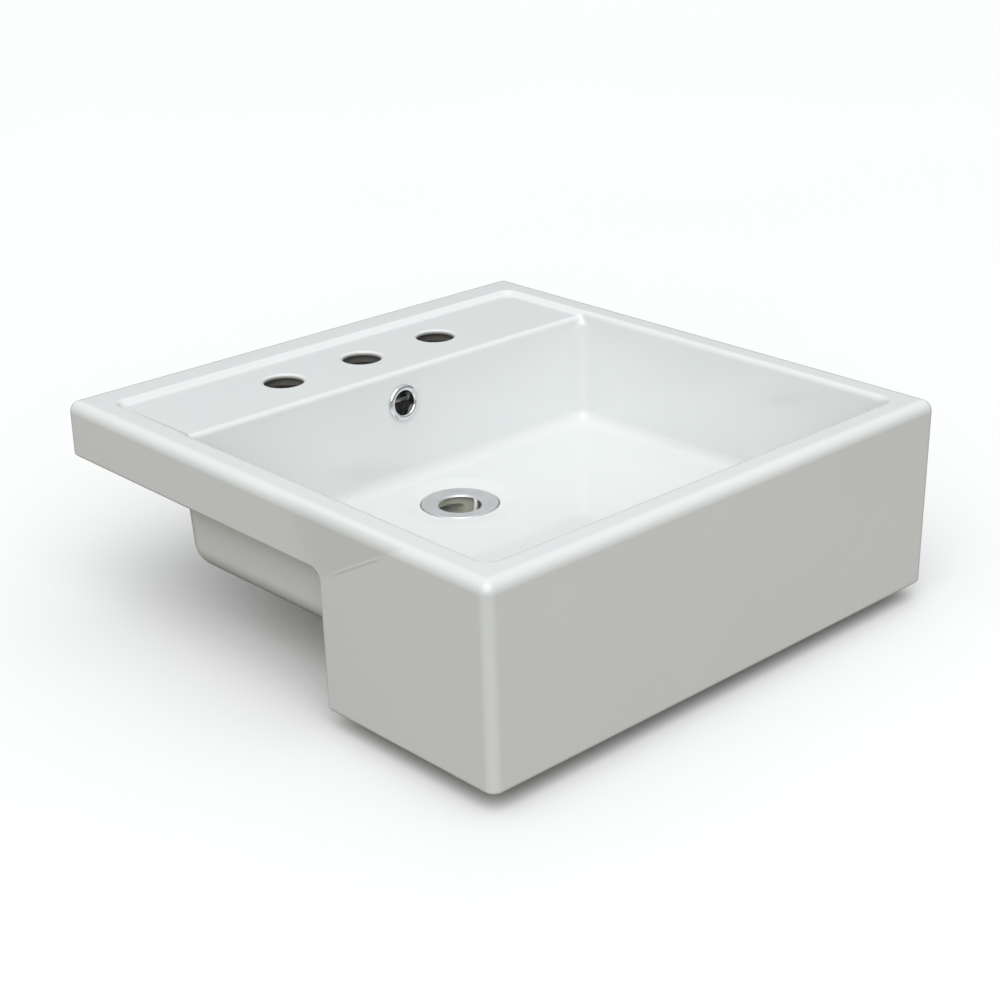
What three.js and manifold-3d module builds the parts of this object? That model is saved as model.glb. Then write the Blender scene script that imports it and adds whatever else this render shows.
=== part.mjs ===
// Semi-recessed square washbasin in vitreous china, with a slotted waste and an overflow trim.
//
// Frame: millimetres, +X to the right, +Y towards the wall, +Z up. The origin lies on the
// centre line, on the underside of the back foot, so z = 0 is the countertop's surface.
// The slab rests on the countertop, and the apron box hangs down in front of its edge.

import * as THREE from "three";
import { mergeVertices } from "three/addons/utils/BufferGeometryUtils.js";
import Module from "manifold-3d";

const wasm = await Module();
wasm.setup();

// ---------------------------------------------------------------- driving dimensions

// Outside of the casting. "From front" values are measured back from the apron's face.
const WIDTH = 510;
const DEPTH = 525;
const SLAB_HEIGHT = 49; // the part that stands above the countertop
const APRON_HEIGHT = 165; // from the rim to the apron's lower edge
const APRON_DEPTH = 184; // from the apron's face to its rear wall
const FOOT_WIDTH = 24; // flat strip under the slab's back edge
const CORNER_R = 9; // vertical outside corners
const EDGE_R = 7; // rolled top edge
const STEP_FILLET_R = 9; // hollow fillet between the slab and the apron's rear wall
const APRON_EDGE_R = 5;
const SIDE_TOE_IN = 0.015; // slope of the apron's side faces below their slanting crease
const CREASE_LOW = { fromFront: 184, z: 0 };
const CREASE_HIGH = { fromFront: 115, z: 44 };

// Rim, tap ledge and bowl.
const SIDE_RIM = 28;
const FRONT_RIM = 28;
const BACK_RIM = 36;
const LEDGE_DROP = 4; // the tap ledge lies this far below the rim
const LEDGE_THICKNESS = 13;
const BOWL_BACK = 386; // bowl's back wall at the ledge, from front
const BOWL_DEPTH = 107; // rim to floor, at the bowl's back wall
const FLOOR_TILT = 0.012; // the floor rises this much per millimetre towards the front
const DISH_DEPTH = 2; // shallow dish round the waste
const DISH_R = 56;
const SIDE_DRAFT = 4; // how far each wall leans in between rim and floor
const BACK_DRAFT = 6;
const BOWL_CORNER_R = 12; // upright corners of the bowl and the recess
const BOWL_FLOOR_R = 11; // hollow rounding between walls and floor
const SHELL = 11; // wall thickness of the casting
const SHELL_EDGE_R = 24; // outer rounding under the bowl

// Tap holes, overflow and waste in the casting.
const TAP_HOLE_R = 17.5;
const TAP_POCKET_R = 24; // wider pocket under each tap hole
const TAP_LIP = 5; // china left between the pocket and the ledge's surface
const TAP_SPACING = 88;
const TAP_ROW = 440; // from front
const OVERFLOW_DROP = 33; // centre of the overflow hole below the rim
const OVERFLOW_BORE_R = 13.2;
const DRAIN_FROM_FRONT = 312;
const DRAIN_BORE_R = 23;
const DRAIN_SEAT_R = 36.5;
const DRAIN_SEAT_DEPTH = 4;
const BOSS_R = 46;
const DUCT_WIDTH = 36; // water way behind the bowl's back wall
const DUCT_GAP = 9;
const DUCT_WALL = 8;
const DUCT_FLOOR_GAP = 12;

// Waste: G 1 1/4 slotted body, seals, washer and back nut.
const FLANGE_R = 35;
const FLANGE_RISE = 0.4; // flange edge above the floor around it
const THROAT_R = 18.5;
const MOUTH_R = 21;
const THREAD_R = 20.95;
const WASTE_LENGTH = 72;
const PILLAR_WIDTH = 5;
const WINDOW_HEIGHT = 17;
const RUN = 0.3; // gap between pieces that touch or slide
const NUT_ACROSS_FLATS = 52;
const NUT_HEIGHT = 8;
const NUT_COLLAR_R = 29;

// Overflow trim: face ring with a skirt, and a spring strip behind it.
const TRIM_R = 16.5;
const TRIM_MOUTH_R = 11;
const TRIM_RISE = 3;
const SKIRT_R = 12.6;
const SKIRT_LENGTH = 9;
const STRIP_HEIGHT = 3.6;
const STRIP_THICKNESS = 0.7;
const CLIP_NECK = 12; // depth at which the legs bow out to the bore

// ---------------------------------------------------------------- derived places

const BACK_Y = FOOT_WIDTH / 2;
const FRONT_Y = BACK_Y - DEPTH;
const RIM_Z = SLAB_HEIGHT;
const APRON_Z = RIM_Z - APRON_HEIGHT;
const LEDGE_Z = RIM_Z - LEDGE_DROP;
const FLOOR_Z = RIM_Z - BOWL_DEPTH;
const DRAIN_Z = FLOOR_Z + FLOOR_TILT * (BOWL_BACK - DRAIN_FROM_FRONT) - DISH_DEPTH;
const SHELL_Z = DRAIN_Z - SHELL;
const BOSS_Z = SHELL_Z - DUCT_FLOOR_GAP - DUCT_WALL;
const INNER_HALF = WIDTH / 2 - SIDE_RIM;

/** A distance measured back from the apron's face, as a y coordinate. */
const back = (fromFront) => FRONT_Y + fromFront;

const DRAIN_Y = back(DRAIN_FROM_FRONT);

// ---------------------------------------------------------------- helpers

/** A closed geometry as a solid that can be joined and cut, with its faces turned outwards. */
function solid(geometry) {
  const bare = geometry.index ? geometry.toNonIndexed() : geometry.clone();
  bare.deleteAttribute("normal");
  bare.deleteAttribute("uv");
  const merged = mergeVertices(bare, 1e-4);
  const corners = merged.index.array;
  const kept = [];
  for (let i = 0; i < corners.length; i += 3) {
    const [a, b, c] = corners.slice(i, i + 3);
    if (a !== b && b !== c && c !== a) kept.push([a, b, c]);
  }
  const made = asManifold(merged, kept);
  return made.volume() > 0 ? made : asManifold(merged, kept.map(([a, b, c]) => [a, c, b]));
}

/** Vertices and triangles as a manifold-3d solid. */
function asManifold(merged, triangles) {
  return new wasm.Manifold(
    new wasm.Mesh({
      numProp: 3,
      vertProperties: merged.attributes.position.array,
      triVerts: new Uint32Array(triangles.flat()),
    }),
  );
}

/** A joined and cut solid as a geometry for a mesh. */
function geometryOf(made) {
  const mesh = made.getMesh();
  const geometry = new THREE.BufferGeometry();
  geometry.setAttribute("position", new THREE.BufferAttribute(mesh.vertProperties, 3));
  geometry.setIndex(new THREE.BufferAttribute(mesh.triVerts, 1));
  geometry.computeVertexNormals();
  return geometry;
}

/** The outline of a rectangle with four rounded corners, between two corners in plan. */
function roundedOutline(x0, y0, x1, y1, r) {
  const outline = new THREE.Shape();
  outline.moveTo(x0 + r, y0);
  outline.lineTo(x1 - r, y0);
  outline.absarc(x1 - r, y0 + r, r, -Math.PI / 2, 0, false);
  outline.lineTo(x1, y1 - r);
  outline.absarc(x1 - r, y1 - r, r, 0, Math.PI / 2, false);
  outline.lineTo(x0 + r, y1);
  outline.absarc(x0 + r, y1 - r, r, Math.PI / 2, Math.PI, false);
  outline.lineTo(x0, y0 + r);
  outline.absarc(x0 + r, y0 + r, r, Math.PI, 1.5 * Math.PI, false);
  return outline;
}

/** An upright block of rounded plan between two heights, with rolled upper and lower edges. */
function block({ x0, x1, y0, y1, z0, z1, corner, edge = 0, edgeSteps = 4 }) {
  const geometry = new THREE.ExtrudeGeometry(roundedOutline(x0, y0, x1, y1, corner), {
    depth: z1 - z0 - 2 * edge,
    bevelEnabled: edge > 0,
    bevelThickness: edge,
    bevelSize: edge,
    bevelOffset: -edge,
    bevelSegments: edgeSteps,
    curveSegments: 5,
  });
  geometry.translate(0, 0, z0 + edge);
  return geometry;
}

/** Moves every vertex of a geometry by a rule. */
function reshape(geometry, rule) {
  const place = geometry.attributes.position;
  const v = new THREE.Vector3();
  for (let i = 0; i < place.count; i++) {
    v.fromBufferAttribute(place, i);
    rule(v);
    place.setXYZ(i, v.x, v.y, v.z);
  }
  return geometry;
}

/** A closed profile of [r, height] turned about the Y axis; it may start and end on the axis. */
function lathe(profile, segments) {
  const onAxis = profile[0][0] === 0 && profile.at(-1)[0] === 0;
  const closed = onAxis ? profile : [...profile, profile[0]];
  return new THREE.LatheGeometry(
    closed.map(([r, h]) => new THREE.Vector2(r, h)),
    segments,
  );
}

/** A body turned about the upright axis through (x, y), from a profile of [r, z]. */
function turned(profile, x, y, segments = 48) {
  const geometry = lathe(profile, segments);
  geometry.rotateX(Math.PI / 2);
  geometry.translate(x, y, 0);
  return solid(geometry);
}

/** A full upright cylinder between two heights. */
function post(r, z0, z1, x, y, segments = 36) {
  const geometry = new THREE.CylinderGeometry(r, r, z1 - z0, segments);
  geometry.rotateX(Math.PI / 2);
  geometry.translate(x, y, (z0 + z1) / 2);
  return solid(geometry);
}

/** A plain box between two corners. */
function box(x0, x1, y0, y1, z0, z1) {
  const geometry = new THREE.BoxGeometry(x1 - x0, y1 - y0, z1 - z0);
  geometry.translate((x0 + x1) / 2, (y0 + y1) / 2, (z0 + z1) / 2);
  return solid(geometry);
}

/** A side view in [y, z] carried along X between -halfWidth and +halfWidth. */
function acrossX(outline, halfWidth) {
  const geometry = new THREE.ExtrudeGeometry(outline, {
    depth: 2 * halfWidth,
    bevelEnabled: false,
    curveSegments: 6,
  });
  geometry.applyMatrix4(
    new THREE.Matrix4().makeBasis(
      new THREE.Vector3(0, 1, 0),
      new THREE.Vector3(0, 0, 1),
      new THREE.Vector3(1, 0, 0),
    ),
  );
  geometry.translate(-halfWidth, 0, 0);
  return solid(geometry);
}

/** A closed outline through [y, z] corners. */
function sideView(corners) {
  return new THREE.Shape(corners.map(([y, z]) => new THREE.Vector2(y, z)));
}

/** A named mesh with its own material. */
function part(name, made, colour, roughness, metalness) {
  const material = new THREE.MeshStandardMaterial({ color: colour, roughness, metalness });
  const mesh = new THREE.Mesh(geometryOf(made), material);
  mesh.name = name;
  return mesh;
}

// ---------------------------------------------------------------- basin body

/** The slab's and apron's outside, with the fillet between them. */
function outsideOfCasting() {
  const half = WIDTH / 2;
  const slab = solid(
    block({
      x0: -half,
      x1: half,
      y0: FRONT_Y,
      y1: BACK_Y,
      z0: -4 * EDGE_R,
      z1: RIM_Z,
      corner: CORNER_R,
      edge: EDGE_R,
    }),
  ).subtract(box(-half - 1, half + 1, FRONT_Y - 1, BACK_Y + 1, -5 * EDGE_R, 0));
  const apron = solid(
    block({
      x0: -half,
      x1: half,
      y0: FRONT_Y,
      y1: back(APRON_DEPTH),
      z0: APRON_Z,
      z1: RIM_Z - 2 * EDGE_R,
      corner: CORNER_R,
      edge: APRON_EDGE_R,
      edgeSteps: 3,
    }),
  );
  const hollow = new THREE.Shape();
  const rearFace = back(APRON_DEPTH);
  hollow.moveTo(rearFace - 12, 1);
  hollow.lineTo(rearFace + STEP_FILLET_R, 1);
  hollow.lineTo(rearFace + STEP_FILLET_R, 0);
  hollow.absarc(
    rearFace + STEP_FILLET_R, -STEP_FILLET_R, STEP_FILLET_R, Math.PI / 2, Math.PI, false,
  );
  hollow.lineTo(rearFace - 12, -STEP_FILLET_R);
  const fillet = acrossX(hollow, half - 0.5);
  let outside = slab.add(apron).add(fillet);
  for (const side of [-1, 1]) outside = outside.subtract(toeIn(side));
  return outside;
}

/** The wedge that tilts one side face inwards, below and in front of its slanting crease. */
function toeIn(side) {
  const low = new THREE.Vector3((side * WIDTH) / 2, back(CREASE_LOW.fromFront), CREASE_LOW.z);
  const high = new THREE.Vector3((side * WIDTH) / 2, back(CREASE_HIGH.fromFront), CREASE_HIGH.z);
  const along = high.clone().sub(low).normalize();
  const out = new THREE.Vector3(side, 0, 0);
  const down = new THREE.Vector3().crossVectors(along, out);
  if (down.z > 0) down.negate();
  const away = out.clone().add(down.clone().multiplyScalar(SIDE_TOE_IN)).normalize();
  const across = down.clone().addScaledVector(away, -down.dot(away)).normalize();
  const third = new THREE.Vector3().crossVectors(away, across);
  const wedge = new THREE.BoxGeometry(40, 600, 1200);
  wedge.translate(20, 300, 0);
  wedge.applyMatrix4(new THREE.Matrix4().makeBasis(away, across, third).setPosition(low));
  return solid(wedge);
}

/** Leans the bowl's walls in towards the floor, evenly with depth. */
function leanIn(v) {
  const share = (LEDGE_Z - v.z) / (LEDGE_Z - FLOOR_Z);
  v.x *= 1 - (SIDE_DRAFT * share) / INNER_HALF;
  const span = BOWL_BACK - FRONT_RIM;
  const where = (v.y - back(FRONT_RIM)) / span;
  const front = back(FRONT_RIM) + SIDE_DRAFT * share;
  const rear = back(BOWL_BACK) - BACK_DRAFT * share;
  v.y = front + (rear - front) * where;
}

/** Raises the bowl's floor, and what is level with it, evenly towards the front. */
function tiltFloor(v) {
  if (v.z < FLOOR_Z + BOWL_FLOOR_R + 1) v.z += FLOOR_TILT * (back(BOWL_BACK) - v.y);
}

/** The space inside the bowl, with a shallow dish round the waste. */
function bowlSpace() {
  const walls = block({
    x0: -INNER_HALF,
    x1: INNER_HALF,
    y0: back(FRONT_RIM),
    y1: back(BOWL_BACK),
    z0: FLOOR_Z,
    z1: RIM_Z + 30,
    corner: BOWL_CORNER_R,
    edge: BOWL_FLOOR_R,
  });
  const space = solid(reshape(reshape(walls, tiltFloor), leanIn));
  const profile = [
    [0, FLOOR_Z + 1],
    [DISH_R, FLOOR_Z + 1],
    [DISH_R, FLOOR_Z],
    [DRAIN_SEAT_R, FLOOR_Z - DISH_DEPTH],
    [0, FLOOR_Z - DISH_DEPTH],
  ];
  const dish = lathe(profile, 60).rotateX(Math.PI / 2).translate(0, DRAIN_Y, 0);
  return space.add(solid(reshape(dish, tiltFloor)));
}

/** The bowl's underside behind the apron. */
function bowlShell() {
  const shell = block({
    x0: -INNER_HALF - SHELL,
    x1: INNER_HALF + SHELL,
    y0: back(APRON_DEPTH - 60),
    y1: back(BOWL_BACK + SHELL),
    z0: SHELL_Z,
    z1: RIM_Z - 12,
    corner: SHELL_EDGE_R + 3,
    edge: SHELL_EDGE_R,
  });
  return solid(reshape(shell, leanIn));
}

/** The overflow's water way in side view, grown outwards by a wall. */
function ductView(wall) {
  const rear = back(BOWL_BACK + SHELL) + DUCT_GAP + wall;
  const low = SHELL_Z - DUCT_FLOOR_GAP - wall;
  const top = RIM_Z - OVERFLOW_DROP + OVERFLOW_BORE_R + wall * 0.5;
  const inner = back(BOWL_BACK + SHELL) - (wall > 0 ? 8 : 0);
  const roof = SHELL_Z + (wall > 0 ? 4 : 0);
  return sideView([
    [DRAIN_Y, low],
    [rear - 12, low],
    [rear, low + 12],
    [rear, top],
    [inner, top],
    [inner, roof],
    [DRAIN_Y, roof],
  ]);
}

function basinBody() {
  let body = outsideOfCasting().add(bowlShell());
  body = body.add(post(BOSS_R, BOSS_Z, SHELL_Z + 4, 0, DRAIN_Y, 48));

  // Hollow under the tap ledge, open downwards for the tap nuts.
  const underLedge = block({
    x0: -INNER_HALF + 2,
    x1: INNER_HALF - 2,
    y0: back(BOWL_BACK + SHELL),
    y1: BACK_Y - FOOT_WIDTH,
    z0: -30,
    z1: LEDGE_Z - LEDGE_THICKNESS,
    corner: 8,
    edge: 5,
    edgeSteps: 2,
  });
  body = body.subtract(solid(underLedge));
  body = body.add(acrossX(ductView(DUCT_WALL), DUCT_WIDTH / 2 + DUCT_WALL));

  // Hollow of the apron box, open downwards.
  const inApron = block({
    x0: -WIDTH / 2 + SHELL + 3,
    x1: WIDTH / 2 - SHELL - 3,
    y0: FRONT_Y + SHELL,
    y1: back(APRON_DEPTH) - SHELL,
    z0: APRON_Z - 30,
    z1: SHELL_Z,
    corner: 8,
    edge: 5,
    edgeSteps: 2,
  });
  body = body.subtract(solid(inApron));

  // Recess between the rims, and the bowl.
  const recess = block({
    x0: -INNER_HALF,
    x1: INNER_HALF,
    y0: back(FRONT_RIM),
    y1: BACK_Y - BACK_RIM,
    z0: LEDGE_Z,
    z1: RIM_Z + 20,
    corner: BOWL_CORNER_R,
  });
  body = body.subtract(solid(reshape(recess, leanIn))).subtract(bowlSpace());

  // Water way and holes.
  body = body.subtract(acrossX(ductView(0), DUCT_WIDTH / 2));
  for (const column of [-1, 0, 1]) {
    const x = column * TAP_SPACING;
    body = body.subtract(post(TAP_HOLE_R, 20, RIM_Z + 5, x, back(TAP_ROW)));
    body = body.subtract(post(TAP_POCKET_R, 20, LEDGE_Z - TAP_LIP, x, back(TAP_ROW)));
  }
  body = body.subtract(post(DRAIN_BORE_R, BOSS_Z - 5, FLOOR_Z, 0, DRAIN_Y, 48));
  body = body.subtract(
    post(DRAIN_SEAT_R, DRAIN_Z - DRAIN_SEAT_DEPTH, FLOOR_Z, 0, DRAIN_Y, 48),
  );
  const bore = new THREE.CylinderGeometry(OVERFLOW_BORE_R, OVERFLOW_BORE_R, 60, 36);
  bore.applyMatrix4(overflowPlace());
  const reach = box(-20, 20, back(BOWL_BACK - 30), back(BOWL_BACK + SHELL + 4), -10, 40);
  return body.subtract(solid(bore).intersect(reach));
}

/** Puts an upright turned shape on the overflow's axis: its +Y points out into the bowl. */
function overflowPlace() {
  const lean = Math.atan(BACK_DRAFT / (LEDGE_Z - FLOOR_Z));
  const out = new THREE.Vector3(0, -Math.cos(lean), Math.sin(lean));
  const right = new THREE.Vector3(1, 0, 0);
  const up = new THREE.Vector3().crossVectors(right, out);
  const z = RIM_Z - OVERFLOW_DROP;
  const share = (LEDGE_Z - z) / (LEDGE_Z - FLOOR_Z);
  const y = back(BOWL_BACK) - BACK_DRAFT * share;
  return new THREE.Matrix4().makeBasis(right, out, up).setPosition(0, y, z);
}

// ---------------------------------------------------------------- overflow trim

/** Face ring with a rounded bead and a skirt that reaches into the bore. */
function overflowRing() {
  const profile = [
    [TRIM_MOUTH_R, -SKIRT_LENGTH],
    [SKIRT_R, -SKIRT_LENGTH],
    [SKIRT_R, RUN],
    [TRIM_R, RUN],
    [TRIM_R, 1.1],
    [TRIM_R - 0.8, 2.1],
    [TRIM_R - 2.2, 2.8],
    [TRIM_R - 3.6, TRIM_RISE],
    [TRIM_MOUTH_R + 0.9, 2.5],
    [TRIM_MOUTH_R, 1.2],
  ];
  return solid(lathe(profile, 48).applyMatrix4(overflowPlace()));
}

/** Spring strip across the back of the skirt, with two legs that press on the bore. */
function overflowClip() {
  const t = STRIP_THICKNESS;
  const start = -SKIRT_LENGTH - RUN;
  const neck = -CLIP_NECK;
  const reach = OVERFLOW_BORE_R - RUN;
  const oneSide = [
    [SKIRT_R - 0.4, start],
    [SKIRT_R - 0.4, neck],
    [reach, neck - 1.4],
    [SKIRT_R - 0.6, neck - 3],
    [SKIRT_R - 0.6 - t, neck - 2.8],
    [reach - 1.1 * t, neck - 1.4],
    [SKIRT_R - 0.4 - t, neck],
    [SKIRT_R - 0.4 - t, start - t],
  ];
  const otherSide = oneSide.map(([x, h]) => [-x, h]).reverse();
  const outline = new THREE.Shape(
    [...oneSide, ...otherSide].map(([x, h]) => new THREE.Vector2(x, h)),
  );
  const geometry = new THREE.ExtrudeGeometry(outline, { depth: STRIP_HEIGHT, bevelEnabled: false });
  geometry.translate(0, 0, -STRIP_HEIGHT / 2);
  return solid(geometry.applyMatrix4(overflowPlace()));
}

// ---------------------------------------------------------------- waste

const FLANGE_TOP = DRAIN_Z + FLANGE_RISE;
const FLANGE_UNDER = FLANGE_TOP - 2.6;
const WASTE_END = FLANGE_TOP - WASTE_LENGTH;
const WINDOW_TOP = FLANGE_UNDER - 2.4;
const GASKET_Z = BOSS_Z - RUN;
const GASKET_END = GASKET_Z - 5;
const WASHER_Z = GASKET_END - RUN;
const WASHER_END = WASHER_Z - 2;
const NUT_Z = WASHER_END - RUN;

/** Flange, throat and threaded tube, with a window on each side of two narrow pillars. */
function wasteBody() {
  const body = turned(
    [
      [THROAT_R, WASTE_END],
      [THREAD_R - 1, WASTE_END],
      [THREAD_R, WASTE_END + 1],
      [THREAD_R, FLANGE_UNDER],
      [FLANGE_R - 1, FLANGE_UNDER],
      [FLANGE_R, FLANGE_UNDER + 1],
      [FLANGE_R - 0.4, FLANGE_TOP - 0.4],
      [FLANGE_R - 1.6, FLANGE_TOP],
      [MOUTH_R + 2, FLANGE_TOP - 0.9],
      [MOUTH_R, FLANGE_TOP - 1.7],
      [THROAT_R + 0.7, FLANGE_TOP - 3.6],
      [THROAT_R, FLANGE_TOP - 5],
    ],
    0,
    DRAIN_Y,
    56,
  );
  const half = PILLAR_WIDTH / 2;
  const low = WINDOW_TOP - WINDOW_HEIGHT;
  const reach = THREAD_R + 2;
  const rear = box(-reach, reach, DRAIN_Y + half, DRAIN_Y + reach, low, WINDOW_TOP);
  const front = box(-reach, reach, DRAIN_Y - reach, DRAIN_Y - half, low, WINDOW_TOP);
  return body.subtract(rear).subtract(front);
}

/** Foam seal between the flange and its seat in the casting. */
function flangeSeal() {
  const seat = DRAIN_Z - DRAIN_SEAT_DEPTH + RUN;
  const top = FLANGE_UNDER - RUN;
  const inner = THREAD_R + RUN;
  return turned(
    [[inner, seat], [FLANGE_R - 2, seat], [FLANGE_R - 2, top], [inner, top]], 0, DRAIN_Y,
  );
}

/** Tapered gasket that is pressed up into the bore from below. */
function lowerGasket() {
  const inner = THREAD_R + RUN;
  return turned(
    [
      [inner, GASKET_END],
      [30, GASKET_END],
      [30, GASKET_Z - 1],
      [28.5, GASKET_Z],
      [DRAIN_BORE_R - RUN, GASKET_Z],
      [inner + 0.8, GASKET_Z + 5],
      [inner, GASKET_Z + 5],
    ],
    0,
    DRAIN_Y,
  );
}

function slipWasher() {
  const inner = THREAD_R + RUN;
  return turned(
    [[inner, WASHER_END], [29.5, WASHER_END], [29.5, WASHER_Z], [inner, WASHER_Z]], 0, DRAIN_Y,
  );
}

/** Hexagon nut with a round collar against the washer. */
function backNut() {
  const collar = post(NUT_COLLAR_R, NUT_Z - 2.5, NUT_Z, 0, DRAIN_Y, 48);
  const cornerR = NUT_ACROSS_FLATS / Math.sqrt(3);
  const hexagon = post(cornerR, NUT_Z - 2.5 - NUT_HEIGHT, NUT_Z - 2, 0, DRAIN_Y, 6);
  const bore = post(THREAD_R + RUN, NUT_Z - 20, NUT_Z + 5, 0, DRAIN_Y, 56);
  return collar.add(hexagon).subtract(bore);
}

// ---------------------------------------------------------------- assembly

const sink = new THREE.Group();
const overflow = new THREE.Group();
const waste = new THREE.Group();

sink.add(part("basin_body", basinBody(), 0xe9ecea, 0.08, 0));
overflow.add(part("overflow_ring", overflowRing(), 0xc9cccf, 0.12, 1));
overflow.add(part("overflow_clip", overflowClip(), 0x8c8f90, 0.35, 1));
waste.add(part("waste_body", wasteBody(), 0xc2c4c8, 0.25, 1));
waste.add(part("waste_flange_seal", flangeSeal(), 0xb9bbb6, 0.9, 0));
waste.add(part("waste_lower_gasket", lowerGasket(), 0x26282a, 0.8, 0));
waste.add(part("waste_slip_washer", slipWasher(), 0xdfe0da, 0.5, 0));
waste.add(part("waste_back_nut", backNut(), 0xb08d4a, 0.35, 1));
sink.add(overflow, waste);

export default sink;
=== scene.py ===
# %% [markdown]
# # A square semi-recessed washbasin
#
# The basin is one casting in white vitreous china. Its slab lies on a countertop, its deep
# apron hangs in front of the countertop's edge, and a tap ledge with three holes runs along
# the back. A chrome overflow trim sits in the bowl's back wall and a slotted waste in its
# floor. The CAD model gives every size and place; this lesson makes the visible surfaces.

import math

import bmesh
import bpy
import numpy as np
from mathutils import Matrix, Vector


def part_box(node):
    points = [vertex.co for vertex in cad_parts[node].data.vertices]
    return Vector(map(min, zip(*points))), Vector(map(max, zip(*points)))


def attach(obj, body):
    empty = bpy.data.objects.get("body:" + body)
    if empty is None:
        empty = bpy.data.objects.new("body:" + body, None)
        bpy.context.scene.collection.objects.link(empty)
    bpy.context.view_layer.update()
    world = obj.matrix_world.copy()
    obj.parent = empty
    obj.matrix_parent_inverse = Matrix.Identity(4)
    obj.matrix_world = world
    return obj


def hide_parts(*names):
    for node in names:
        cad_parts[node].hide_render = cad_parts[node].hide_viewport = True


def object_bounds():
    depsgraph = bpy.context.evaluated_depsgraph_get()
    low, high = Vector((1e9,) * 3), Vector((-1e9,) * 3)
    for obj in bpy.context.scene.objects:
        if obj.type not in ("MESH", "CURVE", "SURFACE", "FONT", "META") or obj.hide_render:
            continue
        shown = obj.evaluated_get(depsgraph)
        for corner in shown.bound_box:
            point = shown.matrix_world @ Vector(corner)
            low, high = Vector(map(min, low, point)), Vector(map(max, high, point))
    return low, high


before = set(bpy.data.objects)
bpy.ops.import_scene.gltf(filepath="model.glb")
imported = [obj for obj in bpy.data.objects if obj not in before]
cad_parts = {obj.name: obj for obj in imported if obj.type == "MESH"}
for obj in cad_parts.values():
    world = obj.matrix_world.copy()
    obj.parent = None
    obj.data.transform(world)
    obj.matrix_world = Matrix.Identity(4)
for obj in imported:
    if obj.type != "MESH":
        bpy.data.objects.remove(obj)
cad_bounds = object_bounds()
print("CAD box, m:", cad_bounds)

# %% [markdown]
# ## Sizes
#
# The outside sizes come from the frame. The radii and wall positions are the casting's own
# design values, in millimetres, because a potter draws a basin in millimetres. One helper
# turns "measured back from the apron's face" into the frame's y.

# %% Main sizes in millimetres
MM = 0.001


def box_mm(node):
    """A CAD node's lowest and highest corners, in millimetres."""
    low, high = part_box(node)
    return np.array(low) / MM, np.array(high) / MM


body_low, body_high = box_mm("basin_body")
HALF = body_high[0]
FRONT, BACK = body_low[1], body_high[1]
APRON_Z, RIM_Z = body_low[2], body_high[2]
print("width, depth, height, mm:", 2 * HALF, BACK - FRONT, RIM_Z - APRON_Z)

waste_low, waste_high = box_mm("waste_body")
DRAIN_Y = (waste_low[1] + waste_high[1]) / 2
FLANGE_R = (waste_high[0] - waste_low[0]) / 2 - 1
FLANGE_Z, WASTE_END = waste_high[2], waste_low[2]
DRAIN_Z = FLANGE_Z - 0.4
print("waste at y", DRAIN_Y, "flange radius", FLANGE_R)


def from_front(distance):
    """The y of a place that lies this far behind the apron's face."""
    return FRONT + distance


# %% Design values of the casting, in millimetres
APRON_REAR = from_front(184)
STEP_FILLET_R = 9
CORNER_R = 9
TOP_EDGE_R = 10
LOW_EDGE_R = 3
RIM_R, FRONT_RIM_R = 4, 5.5
INNER_HALF = HALF - 28
BOWL_FRONT = from_front(28)
BOWL_BACK = from_front(386)
BOWL_CORNER_R, FLOOR_FILLET_R = 11, 13
LEDGE_REAR = BACK - 36
LEDGE_Z = RIM_Z - 4
LEDGE_CORNER_R, LEDGE_STEP_R = 8, 4.5
FLOOR_Z = RIM_Z - 107
FLOOR_TILT = 0.012
DISH_DEPTH, DISH_R, SEAT_R = 2, 56, 34.8
SIDE_DRAFT, BACK_DRAFT = 4, 6
SHELL = 11
TAP_HOLE_R, TAP_SPACING, TAP_Y = 17.5, 88, from_front(440)
TAP_EDGE_R, TAP_POCKET_R, TAP_LIP = 2.2, 24, 5
OVERFLOW_Z, OVERFLOW_BORE_R = RIM_Z - 33, 13.2
LEAN = math.atan(BACK_DRAFT / (LEDGE_Z - FLOOR_Z))
OVERFLOW_Y = BOWL_BACK - BACK_DRAFT * (LEDGE_Z - OVERFLOW_Z) / (LEDGE_Z - FLOOR_Z)
print("back wall leans by", round(math.degrees(LEAN), 2), "degrees")

# %% [markdown]
# ## How a casting gets its soft shape
#
# A slip-cast basin has no sharp edge: clay, sponge and glaze round every corner. Box
# modelling with bevels could do this, but the rim, the ledge and the bowl meet in three-way
# corners where bevels fail. So the casting is written as a distance field: a formula that
# gives, for any point, how far it is outside (plus) or inside (minus) the china. Fields join
# and cut with a stated radius, just as clay does, and the surface is where the field is zero.

# %% Rounded joins and cuts between two fields
def both(a, b, radius):
    """Space inside both fields, with its edge rolled to a circular arc of this radius:
    near the edge the distance is measured from the arc's centre, elsewhere it is the larger."""
    u = np.maximum(radius + a, 0)
    v = np.maximum(radius + b, 0)
    return np.minimum(-radius, np.maximum(a, b)) + np.hypot(u, v)


def either(a, b, radius):
    """Space inside one field or the other, with a hollow fillet of this radius between them."""
    return -both(-a, -b, radius)


def without(a, b, radius):
    """The first field with the second cut away, its new edges rolled to this radius."""
    return both(a, -b, radius)


def smooth(t):
    """An S-curve from 0 to 1, level at both ends."""
    t = np.clip(t, 0, 1)
    return t * t * (3 - 2 * t)


def slab_between(v, low, high, radius):
    """Distance to the space between two parallel planes."""
    return both(low - v, v - high, radius)


# %% [markdown]
# ## The outside
#
# In plan the casting is a rectangle with rolled corners. In side view it is an L: the slab,
# and the apron box under its front. The apron's side faces are toed in by less than a degree
# below a crease that slants up from the step to the rim, so that the mould can draw.

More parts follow.
